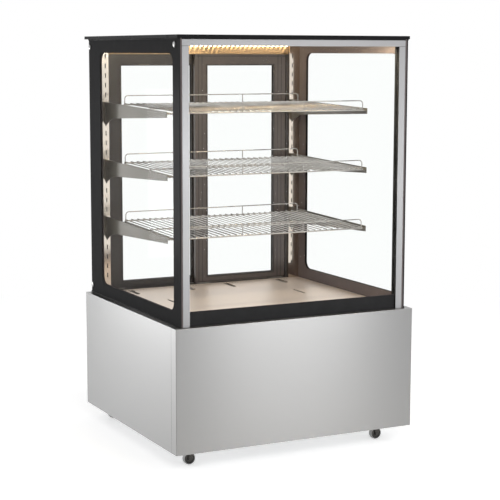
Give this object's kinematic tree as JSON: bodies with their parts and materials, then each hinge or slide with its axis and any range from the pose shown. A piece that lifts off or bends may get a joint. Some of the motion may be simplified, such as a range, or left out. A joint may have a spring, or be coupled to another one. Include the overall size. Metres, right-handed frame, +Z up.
{
  "type": "heated display case",
  "caption": "Glazed heated display case with wire shelves, sliding rear doors and a deep steel base on swivel casters.",
  "frame": {"origin": "on the floor, under the middle of the case's outer box", "axes": "+Z up, +X to the right seen from the front, +Y from the glass front to the rear doors"},
  "size_m": [0.76, 0.722, 1.19],
  "materials": {
    "body_silver": "satin silver-grey coating on folded sheet",
    "pan_zinc": "plain zinc-coated sheet",
    "frame_silver": "satin anodised extrusion",
    "top_black": "toughened glass, black-backed",
    "clear_glass": "clear toughened glass, the side panes with a black printed border",
    "cap_metal": "polished cap",
    "inner_steel": "polished stainless sheet",
    "sill_steel": "plain stainless track",
    "jamb_dark": "dark satin coating",
    "bracket_steel": "plain pressed sheet",
    "wire_chrome": "chromed wire",
    "door_dark": "dark bronze-grey satin coating",
    "glide_nylon": "natural nylon",
    "lamp_shell": "plain channel",
    "lamp_light": "white board with warm light chips",
    "caster_zinc": "zinc-plated pressing",
    "caster_tread": "dark solid tread",
    "plenum_zinc": "zinc-coated sheet",
    "element_sheath": "heat-tinted sheath",
    "fan_black": "moulded black",
    "thermostat_body": "cream moulding",
    "knob_black": "moulded black",
    "switch_black": "moulded black",
    "inlet_black": "moulded black"
  },
  "bodies": {
    "cabinet": {"base_front_panel": "body_silver", "base_side_panel_left": "body_silver", "base_side_panel_right": "body_silver", "base_back_panel": "body_silver", "base_pan": "pan_zinc", "front_post_left": "frame_silver", "front_post_right": "frame_silver", "front_top_rail": "frame_silver", "top_plate": "top_black", "side_glass_left": "clear_glass", "side_glass_right": "clear_glass", "front_glass": "clear_glass", "glass_caps": "cap_metal", "deck_panel": "inner_steel", "ceiling_panel": "inner_steel", "door_head_track": "inner_steel", "upright_left": "inner_steel", "upright_right": "inner_steel", "door_sill_track": "sill_steel", "back_jamb_left": "jamb_dark", "back_jamb_right": "jamb_dark", "bracket_left_bottom": "bracket_steel", "bracket_left_middle": "bracket_steel", "bracket_left_top": "bracket_steel", "bracket_right_bottom": "bracket_steel", "bracket_right_middle": "bracket_steel", "bracket_right_top": "bracket_steel", "shelf_bottom": "wire_chrome", "shelf_middle": "wire_chrome", "shelf_top": "wire_chrome", "lamp_channel": "lamp_shell", "lamp_board": "lamp_light", "caster_plates": "caster_zinc", "heater_tub": "plenum_zinc", "fan_baffle": "plenum_zinc", "element_stands": "plenum_zinc", "control_box": "plenum_zinc", "heating_element": "element_sheath", "fan_frame": "fan_black", "thermostat": "thermostat_body", "switch_housings": "switch_black", "mains_inlet": "inlet_black"},
    "door_left": {"door_frame_left": "door_dark", "door_glass_left": "clear_glass", "door_glides_left": "glide_nylon"},
    "door_right": {"door_frame_right": "door_dark", "door_glass_right": "clear_glass", "door_glides_right": "glide_nylon"},
    "knob": {"thermostat_knob": "knob_black"},
    "power_rocker": {"power_switch": "switch_black"},
    "light_rocker": {"light_switch": "switch_black"},
    "fan": {"fan_rotor": "fan_black"},
    "fork_front_left": {"caster_fork_front_left": "caster_zinc"},
    "wheel_front_left": {"caster_wheel_front_left": "caster_tread"},
    "fork_front_right": {"caster_fork_front_right": "caster_zinc"},
    "wheel_front_right": {"caster_wheel_front_right": "caster_tread"},
    "fork_back_left": {"caster_fork_back_left": "caster_zinc"},
    "wheel_back_left": {"caster_wheel_back_left": "caster_tread"},
    "fork_back_right": {"caster_fork_back_right": "caster_zinc"},
    "wheel_back_right": {"caster_wheel_back_right": "caster_tread"}
  },
  "joints": [
    {"name": "door_left_slide", "type": "slide", "parent": "cabinet", "child": "door_left", "axis": [1, 0, 0], "range_m": [0, 0.285]},
    {"name": "door_right_slide", "type": "slide", "parent": "cabinet", "child": "door_right", "axis": [-1, 0, 0], "range_m": [0, 0.285]},
    {"name": "thermostat_knob_turn", "type": "hinge", "parent": "cabinet", "child": "knob", "pos_m": [0.282, 0.334, 0.195], "axis": [0, -1, 0], "range_deg": [0, 270]},
    {"name": "power_switch_rock", "type": "hinge", "parent": "cabinet", "child": "power_rocker", "pos_m": [0.18, 0.3325, 0.195], "axis": [1, 0, 0], "range_deg": [0, 16]},
    {"name": "light_switch_rock", "type": "hinge", "parent": "cabinet", "child": "light_rocker", "pos_m": [0.22, 0.3325, 0.195], "axis": [1, 0, 0], "range_deg": [0, 16]},
    {"name": "fan_spin", "type": "hinge", "parent": "cabinet", "child": "fan", "pos_m": [0, 0.16, 0.34335], "axis": [0, 1, 0], "continuous": true},
    {"name": "caster_swivel_front_left", "type": "hinge", "parent": "cabinet", "child": "fork_front_left", "pos_m": [-0.305, -0.3025, 0.0375], "axis": [0, 0, 1], "continuous": true},
    {"name": "caster_roll_front_left", "type": "hinge", "parent": "fork_front_left", "child": "wheel_front_left", "pos_m": [-0.3165, -0.3025, 0.0175], "axis": [0, 1, 0], "continuous": true},
    {"name": "caster_swivel_front_right", "type": "hinge", "parent": "cabinet", "child": "fork_front_right", "pos_m": [0.305, -0.3025, 0.0375], "axis": [0, 0, 1], "continuous": true},
    {"name": "caster_roll_front_right", "type": "hinge", "parent": "fork_front_right", "child": "wheel_front_right", "pos_m": [0.2935, -0.3025, 0.0175], "axis": [0, 1, 0], "continuous": true},
    {"name": "caster_swivel_back_left", "type": "hinge", "parent": "cabinet", "child": "fork_back_left", "pos_m": [-0.305, 0.2755, 0.0375], "axis": [0, 0, 1], "continuous": true},
    {"name": "caster_roll_back_left", "type": "hinge", "parent": "fork_back_left", "child": "wheel_back_left", "pos_m": [-0.3165, 0.2755, 0.0175], "axis": [0, 1, 0], "continuous": true},
    {"name": "caster_swivel_back_right", "type": "hinge", "parent": "cabinet", "child": "fork_back_right", "pos_m": [0.305, 0.2755, 0.0375], "axis": [0, 0, 1], "continuous": true},
    {"name": "caster_roll_back_right", "type": "hinge", "parent": "fork_back_right", "child": "wheel_back_right", "pos_m": [0.2935, 0.2755, 0.0175], "axis": [0, 1, 0], "continuous": true}
  ]
}
